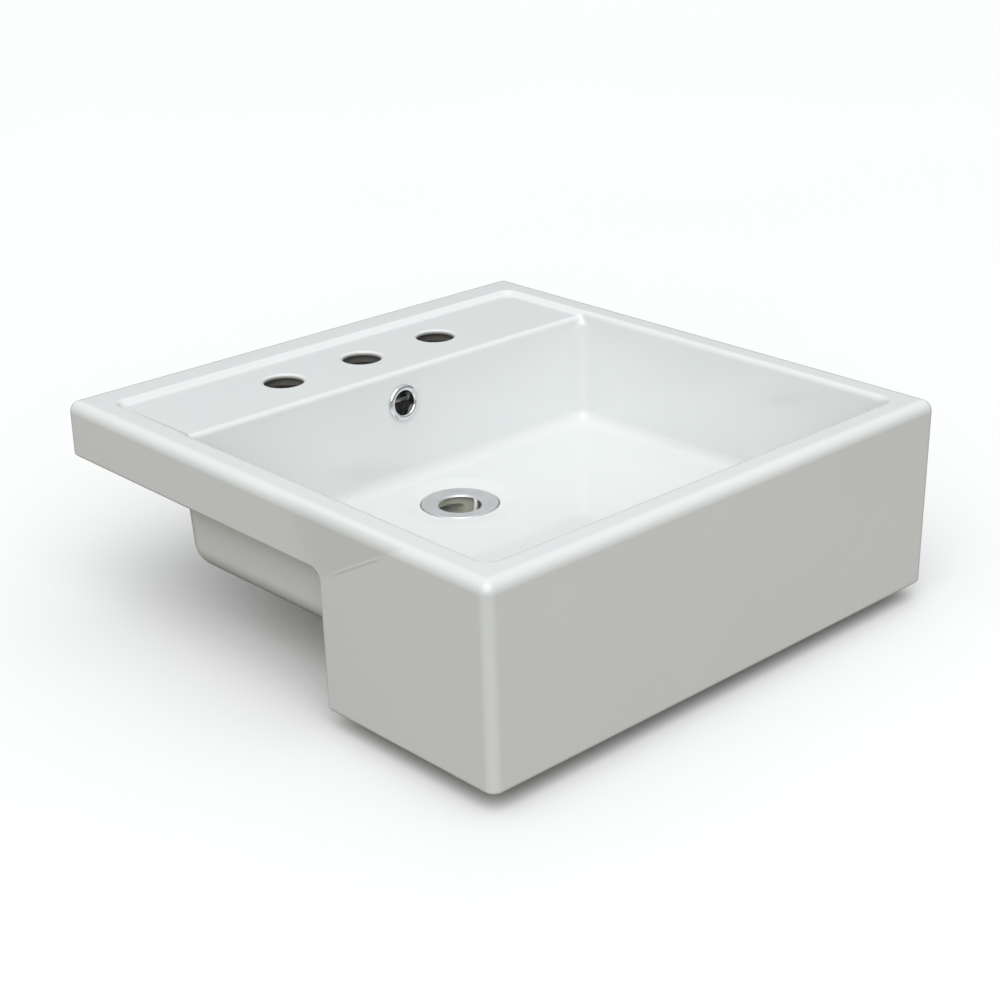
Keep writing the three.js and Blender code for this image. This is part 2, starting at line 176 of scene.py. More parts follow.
# %% The outside of the casting
CREASE_LOW = np.array([from_front(178), -3.0])
CREASE_HIGH = np.array([from_front(104), RIM_Z - 11])
CREASE_RUN = (CREASE_HIGH - CREASE_LOW) / np.linalg.norm(CREASE_HIGH - CREASE_LOW)
TOE_IN, CREASE_EASE = 0.015, 0.1


def below_crease(y, z):
    """How far a point lies below and in front of the slanting crease, in side view."""
    return (y - CREASE_LOW[0]) * -CREASE_RUN[1] + (z - CREASE_LOW[1]) * CREASE_RUN[0]


def outside(x, y, z):
    """Plan rectangle with toed-in sides, between the L-shaped underside and the rim. The
    toe-in grows evenly below the crease and starts with a short parabola."""
    below = TOE_IN * below_crease(y, z)
    ease = np.maximum(CREASE_EASE - np.abs(below), 0)
    side = x - HALF + np.maximum(below, 0) + ease * ease / (4 * CREASE_EASE)
    plan = both(both(side, FRONT - y, CORNER_R), y - BACK, CORNER_R)
    step = either(-z, y - APRON_REAR, STEP_FILLET_R)
    under = both(step, APRON_Z - z, LOW_EDGE_R + 1)
    return both(both(plan, under, LOW_EDGE_R), z - RIM_Z, TOP_EDGE_R)


# %% [markdown]
# ## The bowl and the ledge
#
# Every wall leans in a little towards the floor. The floor rises towards the front and has a
# shallow dish round the waste. The rim stands 4 mm above the tap ledge, so that splashes run
# back into the bowl. Radii change along the way: the bowl's corners are generous, the step
# between rim and ledge is tight.

# %% The space inside the basin
def walls(x, y, z):
    """Distances to the leaning side, front and back walls of the bowl."""
    share = (LEDGE_Z - z) / (LEDGE_Z - FLOOR_Z)
    side = x - (INNER_HALF - SIDE_DRAFT * share)
    front = BOWL_FRONT + SIDE_DRAFT * share - y
    rear = y - (BOWL_BACK - BACK_DRAFT * share)
    return side, front, rear


def floor_height(x, y):
    """A plane that rises to the front, less a round dish that deepens towards the waste."""
    radius = np.hypot(x, y - DRAIN_Y)
    dish = DISH_DEPTH * smooth((DISH_R - radius) / (DISH_R - SEAT_R))
    return FLOOR_Z + FLOOR_TILT * (BOWL_BACK - y) - dish


def bowl(x, y, z):
    """The bowl alone: four leaning walls and the floor, with rounded corners and fillets."""
    side, front, rear = walls(x, y, z)
    plan = both(both(side, front, BOWL_CORNER_R), rear, BOWL_CORNER_R)
    return both(plan, floor_height(x, y) - z, FLOOR_FILLET_R)


def mouth(x, y, z):
    """Bowl and ledge recess as one space: an outline in plan, above a stepped floor."""
    side, front, rear = walls(x, y, z)
    plan = both(both(side, front, BOWL_CORNER_R), y - LEDGE_REAR, LEDGE_CORNER_R)
    stepped = either(LEDGE_Z - z, rear, LEDGE_STEP_R)
    floor = both(stepped, floor_height(x, y) - z, FLOOR_FILLET_R)
    corner = LEDGE_STEP_R + (BOWL_CORNER_R - LEDGE_STEP_R) * smooth((LEDGE_Z - 1 - z) / 8)
    return both(plan, floor, corner)


# %% [markdown]
# ## The hidden side
#
# Under the bowl the china follows the bowl at an even wall thickness. The ledge and the
# apron are hollow and open downwards. A flat water way runs from the overflow down behind
# the bowl's back wall and under the floor to the waste hole.

# %% Shell, hollows and water way
WAY_HALF, WAY_WALL = 18, 8
WAY_FRONT, WAY_REAR = from_front(397), from_front(406)
WAY_TOP, WAY_ROOF = OVERFLOW_Z + OVERFLOW_BORE_R, 4
SHELL_Z = DRAIN_Z - SHELL
WAY_FLOOR = SHELL_Z - 12
BOSS_Z = WAY_FLOOR - WAY_WALL
BOSS_R, BORE_R, SEAT_Z = 46, 23, DRAIN_Z - 4
INTO_WALL, INTO_FLOOR = 6, 8
LEDGE_THICK, LEDGE_HOLLOW_HALF, LEDGE_HOLLOW_REAR = 13, INNER_HALF - 2, BACK - 24
APRON_HOLLOW_HALF = HALF - SHELL - 3
HOLLOW_CORNER_R, HOLLOW_ROOF_R = 8, 5


def duct(x, y, z):
    """Outer walls of the water way and the round boss under the waste. Each runs a little way
    into the bowl's own wall or floor, so that they join without a gap."""
    plate = both(x - WAY_HALF - WAY_WALL, y - WAY_REAR - WAY_WALL, 5)
    plate = both(plate, BOSS_Z - z, 8)
    upright = both(plate, both(BOWL_BACK - INTO_WALL - y, z - WAY_TOP - WAY_ROOF, 4), 4)
    flat = both(plate, both(DRAIN_Y - y, z - SHELL_Z - INTO_FLOOR, 4), 1)
    boss = both(np.hypot(x, y - DRAIN_Y) - BOSS_R, slab_between(z, BOSS_Z, SHELL_Z + INTO_FLOOR, 2), 3)
    return np.minimum(np.minimum(upright, flat), boss)


def water_way(x, y, z):
    """The flat passage behind the back wall and on under the floor."""
    upright = both(slab_between(y, WAY_FRONT, WAY_REAR, 1), slab_between(z, WAY_FLOOR, WAY_TOP, 2), 1)
    low = both(slab_between(y, DRAIN_Y, WAY_REAR, 1), slab_between(z, WAY_FLOOR, SHELL_Z, 1), 1)
    return both(x - WAY_HALF, np.minimum(upright, low), 3)


def ledge_hollow(x, y, z):
    """Room for the tap nuts under the ledge."""
    plan = both(x - LEDGE_HOLLOW_HALF, BOWL_BACK - y, HOLLOW_CORNER_R)
    plan = both(plan, y - LEDGE_HOLLOW_REAR, HOLLOW_CORNER_R)
    return both(plan, z - (LEDGE_Z - LEDGE_THICK), HOLLOW_ROOF_R)


def apron_hollow(x, y, z):
    """Inside of the apron box."""
    length = slab_between(y, FRONT + SHELL, APRON_REAR - SHELL, HOLLOW_CORNER_R)
    return both(both(x - APRON_HOLLOW_HALF, length, HOLLOW_CORNER_R), z - SHELL_Z, HOLLOW_ROOF_R)


# %% [markdown]
# ## Holes
#
# The three tap holes are punched in the leather-hard clay, so their upper lips are soft and
# fully glazed, and each has a wider pocket underneath. The overflow's bore leans with the
# wall. The waste sits in a shallow seat.

# %% Holes in the casting
def tap_holes(x, y):
    """Distance from the nearest of the three tap-hole axes."""
    nearest = np.minimum(x, np.abs(x - TAP_SPACING))
    return np.hypot(nearest, y - TAP_Y)


def overflow_bore(x, y, z):
    """A cylinder square to the leaning back wall, no longer than the wall is thick."""
    across = (z - OVERFLOW_Z) * math.cos(LEAN) + (y - OVERFLOW_Y) * math.sin(LEAN)
    length = slab_between(y, BOWL_BACK - 20, WAY_REAR - 1, 1)
    return both(np.hypot(x, across) - OVERFLOW_BORE_R, length, 0.5)


# %% [markdown]
# Now the pieces are put together in the order in which water would find them: the outside,
# less its hollows, plus the shell of the bowl and the duct, less the bowl, the water way and
# the holes. The order matters, because each cut also rounds what was there before it.

# %% The whole casting
def casting(x, y, z):
    """Signed distance to the china, in millimetres. The left half mirrors the right."""
    x = np.abs(x)
    china = outside(x, y, z)
    china = without(china, ledge_hollow(x, y, z), 2)
    china = without(china, apron_hollow(x, y, z), 2.5)
    china = either(china, both(bowl(x, y, z) - SHELL, z - (LEDGE_Z - 9), 2), 5)
    china = either(china, duct(x, y, z), 4)
    rim_r = RIM_R + (FRONT_RIM_R - RIM_R) * smooth((BOWL_BACK + 12 - y) / 24)
    china = without(china, mouth(x, y, z), rim_r)
    china = without(china, water_way(x, y, z), 0.5)
    taps = tap_holes(x, y)
    china = without(china, both(taps - TAP_POCKET_R, z - (LEDGE_Z - TAP_LIP), 1), 1)
    china = without(china, taps - TAP_HOLE_R, TAP_EDGE_R)
    drain = np.hypot(x, y - DRAIN_Y)
    china = without(china, both(drain - SEAT_R, SEAT_Z - z, 0.5), 1.2)
    china = without(china, drain - BORE_R, 1)
    return without(china, overflow_bore(x, y, z), 1)


# %% [markdown]
# ## From a field to a mesh
#
# The field is sampled on a box of grid lines that crowd together where edges and holes are
# and spread out over the flats. Each grid cell that the surface passes through gets one
# point, and each grid edge that it crosses gets one face between the four cells around it.
# Every point is then moved along the field's slope until the field there is zero, so the
# mesh lies exactly on the formula, and its normals are the slope itself.

# %% Grid lines that crowd where detail is
def grid_lines(stops):
    """Lines from stretches of (start, end, step): each stretch is divided evenly."""
    parts = [
        np.linspace(low, high, max(1, round((high - low) / step)), endpoint=False)
        for low, high, step in stops
    ]
    return np.concatenate(parts + [[stops[-1][1]]])


def both_ways(lines):
    """Lines from 0 outwards, repeated on the other side of 0."""
    return np.concatenate([-lines[:0:-1], lines])


# %% Slope of a field, and steps along it
SMALL_STEP, LEAST_STEEPNESS = 0.02, 0.2


def slope(field, points):
    """The field's gradient by central differences, at an array of points."""
    parts = []
    for axis in range(3):
        shift = np.zeros(3)
        shift[axis] = SMALL_STEP
        parts.append((field(*(points + shift).T) - field(*(points - shift).T)) / (2 * SMALL_STEP))
    return np.stack(parts, axis=1)


def settle(field, points, rounds, stride):
    """Moves points onto the surface: each round goes along the slope by the field's value
    over the slope's squared length, and no further than the stride. Also gives the slopes."""
    for _ in range(rounds):
        steep = slope(field, points)
        steepness = np.maximum((steep**2).sum(axis=1), LEAST_STEEPNESS)
        move = field(*points.T)[:, None] * steep / steepness[:, None]
        points = points - np.clip(move, -stride, stride)
    return points, steep


# %% Surface points and faces from the grid
def level_surface(field, xs, ys, zs):
    """Points and four-cornered faces of the surface where the field is zero. A cell's point
    is the mean of the places where the surface crosses the cell's edges."""
    value = field(xs[:, None, None], ys[None, :, None], zs[None, None, :])
    inside = value < 0
    count = np.zeros([n - 1 for n in inside.shape], dtype=np.int8)
    for i, j, k in np.ndindex(2, 2, 2):
        count += inside[i : i + count.shape[0], j : j + count.shape[1], k : k + count.shape[2]]
    cells = np.argwhere((count > 0) & (count < 8))
    number = np.full(count.shape, -1, dtype=np.int64)
    number[tuple(cells.T)] = np.arange(len(cells))
    points = np.zeros((len(cells), 3))
    weight = np.zeros(len(cells))
    lines = (xs, ys, zs)
    faces = []
    for axis in range(3):
        others = [a for a in range(3) if a != axis]
        for shift in np.ndindex(2, 2):
            a = cells.copy()
            a[:, others[0]] += shift[0]
            a[:, others[1]] += shift[1]
            b = a.copy()
            b[:, axis] += 1
            va, vb = value[tuple(a.T)], value[tuple(b.T)]
            crossed = (va < 0) != (vb < 0)
            t = np.where(crossed, va / np.where(crossed, va - vb, 1), 0)
            pa = np.stack([lines[c][a[:, c]] for c in range(3)], axis=1)
            pb = np.stack([lines[c][b[:, c]] for c in range(3)], axis=1)
            points += np.where(crossed[:, None], pa + (pb - pa) * t[:, None], 0)
            weight += crossed
        first = [slice(1, -1)] * 3
        first[axis] = slice(0, -1)
        second = list(first)
        second[axis] = slice(1, None)
        lower, upper = inside[tuple(first)], inside[tuple(second)]
        edges = np.argwhere(lower != upper) + [0 if a == axis else 1 for a in range(3)]
        leaving = lower[lower != upper]
        p, q = (others if axis != 1 else others[::-1])
        ring = []
        for dp, dq in ((-1, -1), (0, -1), (0, 0), (-1, 0)):
            cell = edges.copy()
            cell[:, p] += dp
            cell[:, q] += dq
            ring.append(number[tuple(cell.T)])
        quads = np.stack(ring, axis=1)
        quads[~leaving] = quads[~leaving][:, ::-1]
        faces.append(quads)
    points, _ = settle(field, points / weight[:, None], 5, 2)
    return points, np.concatenate(faces)


# %% [markdown]
# ## Building mesh objects
#
# All pieces are made the same way: an array of points in millimetres, an array of faces, and
# smooth shading. The object stays at the origin and its place is in its mesh.

# %% Points and faces into an object
def new_object(name, points, faces):
    """A smooth-shaded mesh object from points in millimetres and lists of corner numbers."""
    mesh = bpy.data.meshes.new(name)
    mesh.from_pydata((np.asarray(points) * MM).tolist(), [], faces)
    shade_smooth(mesh)
    obj = bpy.data.objects.new(name, mesh)
    bpy.context.scene.collection.objects.link(obj)
    return obj


def shade_smooth(mesh):
    """Marks every face of a mesh as smooth."""
    mesh.polygons.foreach_set("use_smooth", np.ones(len(mesh.polygons), dtype=bool))


def shade_by(obj, normals):
    """Gives each vertex its own exact normal."""
    unit = normals / np.linalg.norm(normals, axis=1, keepdims=True)
    obj.data.normals_split_custom_set_from_vertices(unit.tolist())
    obj.data.update()


def place_of(obj):
    """The vertices of an object as an array, in millimetres."""
    place = np.empty(len(obj.data.vertices) * 3)
    obj.data.vertices.foreach_get("co", place)
    return place.reshape(-1, 3) / MM


def hand_over(obj, body, node):
    """Lets a piece stand for a CAD node: it moves with the node's body, and the node is hidden."""
    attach(obj, body)
    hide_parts(node)
    print(obj.name, "for", node, "-", len(obj.data.polygons), "faces")


# %% Field into an object
def from_field(name, field, xs, ys, zs, most_faces):
    """Meshes a field, thins its flats to about this many triangles, and settles it again."""
    points, faces = level_surface(field, xs, ys, zs)
    obj = new_object(name, points, faces.tolist())
    thin = obj.modifiers.new("thin", "DECIMATE")
    thin.ratio = min(1.0, most_faces / (2 * len(faces)))
    made = bpy.data.meshes.new_from_object(obj.evaluated_get(bpy.context.evaluated_depsgraph_get()))
    obj.modifiers.clear()
    obj.data = made
    place, steep = settle(field, place_of(obj), 3, 1)
    made.vertices.foreach_set("co", (place * MM).ravel())
    shade_smooth(made)
    shade_by(obj, steep)
    return obj


# %% [markdown]
# ## The casting as a mesh
#
# Fine grid lines run through the edges, holes and fillets, coarse ones through the flats.
# Thinning then merges the many small faces that the flats don't need.

# %% Mesh the casting
fine, middle, coarse = ((1.9, 2.6, 9.0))
xs = both_ways(grid_lines([
    (0, 48, fine), (48, 66, middle), (66, 112, fine), (112, 214, coarse), (214, HALF + 2, fine * 0.7),
]))
ys = FRONT + grid_lines([
    (-2, 46, fine * 0.8), (46, 168, coarse), (168, 198, fine * 0.8), (198, 262, coarse),
    (262, 362, fine), (362, 424, fine * 0.8), (424, 464, fine), (464, 484, middle),
    (484, BACK - FRONT + 2, fine * 0.7),
])
zs = grid_lines([
    (APRON_Z - 2, -104, fine * 0.7), (-104, -94, middle), (-94, -40, fine * 0.8), (-40, -12, coarse),
    (-12, 4, fine * 0.8), (4, 30, fine), (30, RIM_Z + 2, fine * 0.5),
])
china = from_field("basin_casting", casting, xs, ys, zs, 170000)
hand_over(china, "basin", "basin_body")

# %% [markdown]
# ## The waste
#
# A slotted basin waste is turned from brass and plated. Its flange is slightly hollow on top
# and rolls over into the throat. Two windows, front and rear, start right under the flange
# and let overflow water in. They leave a narrow pillar on each side, with a rounded rib on its
# inner face. The outside carries a pipe thread of 2.309 mm pitch, which is a groove whose
# depth rises and falls once a turn. It has holes through its wall, so it is a field too.

# %% Waste body field
PITCH, THREAD_DEPTH, THREAD_R = 2.309, 1.48, 20.95
THROAT_R, MOUTH_FLARE = 18.5, 2.0
FLANGE_UNDER = FLANGE_Z - 2.6
DIP_R, DIP_SLOPE, DIP_RUN = 33, 0.09, 12
WINDOW_TOP = FLANGE_UNDER - 0.4
WINDOW_LOW = WINDOW_TOP - 19
PILLAR_HALF = 2.5
RIB_HALF, RIB_TOP, RIB_GROWTH, RIB_RUN = 1.9, FLANGE_Z - 2.9, 2, 12


def groove(x, y, z):
    """Depth of the pipe thread's groove: a wave that climbs one pitch in each turn."""
    turn = z / PITCH - np.arctan2(y - DRAIN_Y, x) / (2 * math.pi)
    return THREAD_DEPTH * (0.5 - 0.5 * np.cos(2 * math.pi * turn))


def waste_field(x, y, z):
    """Flange and threaded tube, less the throat and the two windows, plus the two ribs."""
    radius = np.hypot(x, y - DRAIN_Y)
    aside = np.abs(y - DRAIN_Y)
    cut = groove(x, y, z) * smooth((FLANGE_UNDER - 5 - z) / 2) * smooth((z - WASTE_END + 0.5) / 2)
    tube = both(radius - THREAD_R + cut, slab_between(z, WASTE_END, FLANGE_UNDER + 1, 0.4), 0.3)
    top = z - FLANGE_Z + DIP_SLOPE * np.clip(DIP_R - radius, 0, DIP_RUN)
    flange = both(both(radius - FLANGE_R, top, 1.4), FLANGE_UNDER - z, 0.5)
    brass = either(tube, flange, 0.6)
    near_mouth = smooth((z - FLANGE_Z + 3.4) / 2.4)
    brass = without(brass, radius - THROAT_R - MOUTH_FLARE * near_mouth, 0.5 + 0.5 * near_mouth)
    window = both(PILLAR_HALF - aside, slab_between(z, WINDOW_LOW, WINDOW_TOP, 1), 1)
    brass = without(brass, window, 0.4)
    reach = THROAT_R - 0.5 - RIB_GROWTH * np.clip((RIB_TOP - z) / RIB_RUN, 0, 1)
    rib = both(aside - RIB_HALF, reach - radius, 1.5)
    rib = both(rib, slab_between(z, WINDOW_LOW + 1, RIB_TOP, 0.6), 1)
    return either(brass, both(rib, radius - THROAT_R - 1.5, 0.3), 0.5)


# %% Mesh the waste body
step = 0.6
across = both_ways(grid_lines([(0, 23, step), (23, 31, 2 * step), (31, FLANGE_R + 1, step)]))
waste = from_field(
    "slotted_waste", waste_field, across, DRAIN_Y + across,
    grid_lines([(WASTE_END - 1, WINDOW_LOW - 1, step * 0.8), (WINDOW_LOW - 1, FLANGE_Z + 1, step * 0.9)]),
    190000,
)
hand_over(waste, "basin", "waste_body")

# %% [markdown]
# ## The back nut
#
# Under the basin a brass nut draws the waste tight. It's a hexagon with a round collar
# against the washer, corners trimmed by a cone on its lower face, and the same thread inside.

# %% Back nut
nut_low, nut_high = box_mm("waste_back_nut")
ACROSS_FLATS, COLLAR_R, BORE_GAP = 52, 29, 0.3
CONE_R, CONE_TILT = 27, math.radians(30)


def nut_field(x, y, z):
    """Hexagon and collar, less the cone-trimmed corners and the threaded bore."""
    radius = np.hypot(x, y - DRAIN_Y)
    flats = [np.abs(x * math.cos(t) + (y - DRAIN_Y) * math.sin(t)) for t in np.radians([30, 90, 150])]
    hexagon = np.maximum(np.maximum(flats[0], flats[1]), flats[2]) - ACROSS_FLATS / 2
    cone = (radius - CONE_R) * math.sin(CONE_TILT) + (nut_low[2] - z) * math.cos(CONE_TILT)
    hexagon = both(both(hexagon, slab_between(z, nut_low[2], nut_high[2] - 1, 0.3), 0.4), cone, 0.3)
    collar = both(radius - COLLAR_R, slab_between(z, nut_high[2] - 2.5, nut_high[2], 0.4), 0.5)
    bore = radius - THREAD_R - BORE_GAP - 0.9 * groove(x, y, z)
    return without(either(hexagon, collar, 0.6), bore, 0.25)


wide = both_ways(grid_lines([(0, 23.5, step), (23.5, 32, step)]))
nut = from_field(
    "hexagon_nut", nut_field, wide, DRAIN_Y + wide,
    grid_lines([(nut_low[2] - 1, nut_high[2] + 1, step * 0.8)]), 90000,
)
hand_over(nut, "back_nut", "waste_back_nut")

# %% [markdown]
# ## Turned rings
#
# The trim ring, the seals and the washer are plain turned shapes. Each is an outline in
# radius and height, with its corners eased by short curves, carried once round an axis.

# %% Outline and turning
def eased(corners, steps=5):
    """A closed outline from corners (r, h, ease). Each corner becomes a parabola from the
    point 'ease' before it to the point 'ease' after it, with the corner as its pole."""
    corner = np.array(corners, dtype=float)
    here, ease = corner[:, :2], corner[:, 2:]
    before, after = np.roll(here, 1, axis=0) - here, np.roll(here, -1, axis=0) - here
    start = here + before / np.linalg.norm(before, axis=1, keepdims=True) * ease
    end = here + after / np.linalg.norm(after, axis=1, keepdims=True) * ease
    t = np.linspace(0, 1, steps)[None, :, None]
    curve = (1 - t) ** 2 * start[:, None] + 2 * t * (1 - t) * here[:, None] + t**2 * end[:, None]
    return curve.reshape(-1, 2)


def turned(name, outline, centre, axis=(0, 0, 1), steps=96):
    """A closed ring: point(u, v) = centre + r(v) (cos u, sin u) + h(v) axis."""
    axis = np.array(axis, dtype=float)
    first = np.array([1.0, 0, 0])
    second = np.cross(axis, first)
    u = np.linspace(0, 2 * math.pi, steps, endpoint=False)[:, None, None]
    r, h = outline[None, :, :1], outline[None, :, 1:]
    points = np.array(centre) + r * (np.cos(u) * first + np.sin(u) * second) + h * axis
    return new_object(name, points.reshape(-1, 3), ring_faces(steps, len(outline)).tolist())


def ring_faces(rows, columns):
    """Four-cornered faces of a grid that closes on itself both ways."""
    i, j = np.meshgrid(np.arange(rows), np.arange(columns), indexing="ij")
    i, j = i.ravel(), j.ravel()
    across, along = (i + 1) % rows, (j + 1) % columns
    return np.stack([i * columns + j, across * columns + j, across * columns + along, i * columns + along], 1)


def face_outwards(obj):
    """Turns all faces the same way, outwards."""
    work = bmesh.new()
    work.from_mesh(obj.data)
    bmesh.ops.recalc_face_normals(work, faces=work.faces)
    work.to_mesh(obj.data)
    work.free()
    shade_smooth(obj.data)


# %% Overflow trim ring
out = (0, -math.cos(LEAN), math.sin(LEAN))
overflow_centre = (0, OVERFLOW_Y, OVERFLOW_Z)
TRIM_R, TRIM_MOUTH_R, CROWN_R = 16.5, 11, 13.4
BEAD_FOOT, BEAD_RISE = 0.9, 2.1
SKIRT_R, SKIRT_END = 12.6, -9
bend = np.linspace(0, math.pi / 2, 14)
bead_out = np.stack([
    CROWN_R + (TRIM_R - CROWN_R) * np.cos(bend), BEAD_FOOT + BEAD_RISE * np.sin(bend),
], axis=1)
bead_in = np.stack([
    CROWN_R - (CROWN_R - TRIM_MOUTH_R) * np.sin(bend), BEAD_FOOT + BEAD_RISE * np.cos(bend),
], axis=1)[1:]
skirt = np.array([
    (TRIM_MOUTH_R, -4), (TRIM_MOUTH_R, SKIRT_END + 0.2), (TRIM_MOUTH_R + 0.1, SKIRT_END),
    (SKIRT_R - 0.1, SKIRT_END), (SKIRT_R, SKIRT_END + 0.2), (SKIRT_R, -4), (SKIRT_R, 0.2),
    (SKIRT_R + 0.1, 0.3), (TRIM_R - 0.3, 0.3), (TRIM_R - 0.1, 0.36), (TRIM_R, 0.5),
])
ring = turned("overflow_trim_ring", np.concatenate([bead_out, bead_in, skirt]), overflow_centre, out)
face_outwards(ring)
hand_over(ring, "overflow_trim", "overflow_ring")

# %% Foam seal, lower gasket and slip washer
gasket_low, gasket_high = box_mm("waste_lower_gasket")
washer_low, washer_high = box_mm("waste_slip_washer")
seal_low, seal_high = box_mm("waste_flange_seal")
GASKET_R, WASHER_R, SEAL_R = 30, 29.5, FLANGE_R - 2
inner = THREAD_R + BORE_GAP
shapes = {
    "foam_seal": (
        [(inner, seal_low[2], 0.4), (SEAL_R, seal_low[2], 0.5),
         (SEAL_R, seal_high[2], 0.5), (inner, seal_high[2], 0.4)],
        "basin", "waste_flange_seal", "foam_rubber",
    ),
    "tapered_gasket": (
        [(inner, gasket_low[2], 0.5), (GASKET_R, gasket_low[2], 0.8),
         (GASKET_R, BOSS_Z - 1.3, 0.5), (GASKET_R - 1.5, BOSS_Z - 0.3, 0.4),
         (BORE_R - 0.3, BOSS_Z - 0.3, 0.3), (inner + 0.8, gasket_high[2], 0.25),
         (inner, gasket_high[2], 0.25)],
        "basin", "waste_lower_gasket", "black_rubber",
    ),
    "slip_washer": (
        [(inner, washer_low[2], 0.3), (WASHER_R, washer_low[2], 0.5),
         (WASHER_R, washer_high[2], 0.5), (inner, washer_high[2], 0.3)],
        "slip_washer", "waste_slip_washer", "white_polythene",
    ),
}
for name, (corners, body, node, slot) in shapes.items():
    piece = turned(name, eased(corners), (0, DRAIN_Y, 0))
    face_outwards(piece)
    hand_over(piece, body, node)

# %% [markdown]
# ## The spring clip
#
# Behind the trim ring a thin steel strip crosses the bore. Its two legs bow outwards and
# grip the china. It's a flat section carried along a bent line.

# %% Spring clip
def ribbon(name, path, thickness, width):
    """A flat strip: point(u, v) = path(u) + section(v), the section square to the path."""
    ahead = np.gradient(path, axis=0)
    ahead /= np.linalg.norm(ahead, axis=1, keepdims=True)
    aside = np.stack([-ahead[:, 1], ahead[:, 0]], axis=1)
    corners = ((-1, -1), (1, -1), (1, 1), (-1, 1))
    section = eased([(s * thickness / 2, t * width / 2, 0.15) for s, t in corners], 3)
    flat = path[:, None, :] + aside[:, None, :] * section[None, :, :1]
    high = np.broadcast_to(section[None, :, 1], flat.shape[:2])
    up = np.cross((1, 0, 0), out)
    points = (
        np.array(overflow_centre) + flat[..., :1] * np.array((1, 0, 0))
        + flat[..., 1:] * np.array(out) + high[..., None] * up
    )
    rows, columns = flat.shape[:2]
    faces = ring_faces(rows, columns).reshape(rows, columns, 4)[:-1].reshape(-1, 4).tolist()
    faces.append(list(range(columns)))
    faces.append([(rows - 1) * columns + k for k in range(columns)])
    return new_object(name, points.reshape(-1, 3), faces)


CLIP_THICK, CLIP_WIDE = 0.7, 3.6
leg = np.array([(11.65, -14.85), (12.2, -14.1), (12.45, -13.4), (12.2, -12.8), (11.9, -12.1), (11.85, -11)])
cross_bar = np.array([(11.85, -10.4), (11.7, -9.9), (11.3, -9.67), (10.6, -9.65), (6, -9.65), (2, -9.65)])
half_path = np.concatenate([leg, cross_bar])
clip_path = np.concatenate([half_path, half_path[::-1] * (-1, 1)])
clip = ribbon("spring_clip", clip_path, CLIP_THICK, CLIP_WIDE)
face_outwards(clip)
hand_over(clip, "overflow_trim", "overflow_clip")

# %% [markdown]
# ## Materials
#
# A node helper keeps the recipes short: it adds a node, sets its inputs by name, and wires
# any input that is given another node. Effects that several materials share are node groups
# with named sockets.

# %% Node helpers
def plug(tree, socket, value):
    """Sets a socket to a value, or wires it to another node."""
    if isinstance(value, bpy.types.NodeSocket):
        tree.links.new(value, socket)
    elif isinstance(value, bpy.types.Node):
        tree.links.new(value.outputs[0], socket)
    else:
        socket.default_value = value


def add(tree, kind, *inputs, **settings):
    """Adds a node. Settings are its properties or its inputs by name, values or nodes."""
    node = tree.nodes.new("ShaderNode" + kind)
    for key, value in settings.items():
        if hasattr(node, key):
            setattr(node, key, value)
    for key, value in settings.items():
        if not hasattr(node, key):
            plug(tree, node.inputs[key.replace("_", " ")], value)
    for socket, value in zip(node.inputs, inputs):
        plug(tree, socket, value)
    return node


def new_group(name, inputs, outputs):
    """An empty node group with named sockets, and its input and output nodes."""
    tree = bpy.data.node_groups.new(name, "ShaderNodeTree")
    for socket, kind, value in inputs:
        tree.interface.new_socket(socket, in_out="INPUT", socket_type=kind).default_value = value
    for socket, kind in outputs:
        tree.interface.new_socket(socket, in_out="OUTPUT", socket_type=kind)
    print("node group", name, "puts out", [socket for socket, kind in outputs])
    return tree, tree.nodes.new("NodeGroupInput"), tree.nodes.new("NodeGroupOutput")


NUMBER, COLOUR = "NodeSocketFloat", "NodeSocketColor"
DRAIN_AXIS = (0, DRAIN_Y * MM, 0)

# %% [markdown]
# Nothing here is a flat colour. Glaze drifts by a percent or so over a hand's breadth, where
# it lies thicker or thinner. Plating, rubber and foam drift too, over shorter distances. One
# group serves them all: soft noise picks a colour between a light one and a dark one.

# %% Group: clouds between two colours
clouds, given, result = new_group(
    "clouds",
    [("Scale", NUMBER, 8.0), ("Light", COLOUR, (1, 1, 1, 1)), ("Dark", COLOUR, (0.9, 0.9, 0.9, 1))],
    [("Colour", COLOUR), ("Value", NUMBER)],
)
where = add(clouds, "TexCoord").outputs["Object"]
drift = add(clouds, "TexNoise", Vector=where, Scale=given.outputs["Scale"], Detail=3.0, Roughness=0.5)
spread = add(clouds, "MapRange", Value=drift.outputs["Fac"], From_Min=0.3, From_Max=0.7)
blend = add(clouds, "MixRGB", Fac=spread, Color1=given.outputs["Dark"], Color2=given.outputs["Light"])
clouds.links.new(blend.outputs[0], result.inputs["Colour"])
clouds.links.new(spread.outputs[0], result.inputs["Value"])

# %% [markdown]
# Every surface also has a fine grain: orange peel in glaze, wiping smears on chrome, pores in
# foam. It's noise again, but as a plain number, so that each material can use it as a height
# or as a roughness.

# %% Group: grain as a height
grain, given, result = new_group(
    "grain", [("Scale", NUMBER, 400.0), ("Fine", NUMBER, 2.0)], [("Height", NUMBER), ("Value", NUMBER)]
)
where = add(grain, "TexCoord").outputs["Object"]
broad = add(grain, "TexNoise", Vector=where, Scale=given.outputs["Scale"], Detail=given.outputs["Fine"])
grain.links.new(broad.outputs["Fac"], result.inputs["Height"])
grain.links.new(broad.outputs["Fac"], result.inputs["Value"])

# %% [markdown]
# A lathe tool leaves rings round the part's axis. They could be cut into the mesh, but they
# are finer than a hair. So a noise is run along the distance from the axis plus the height:
# it changes across the rings and never along them.

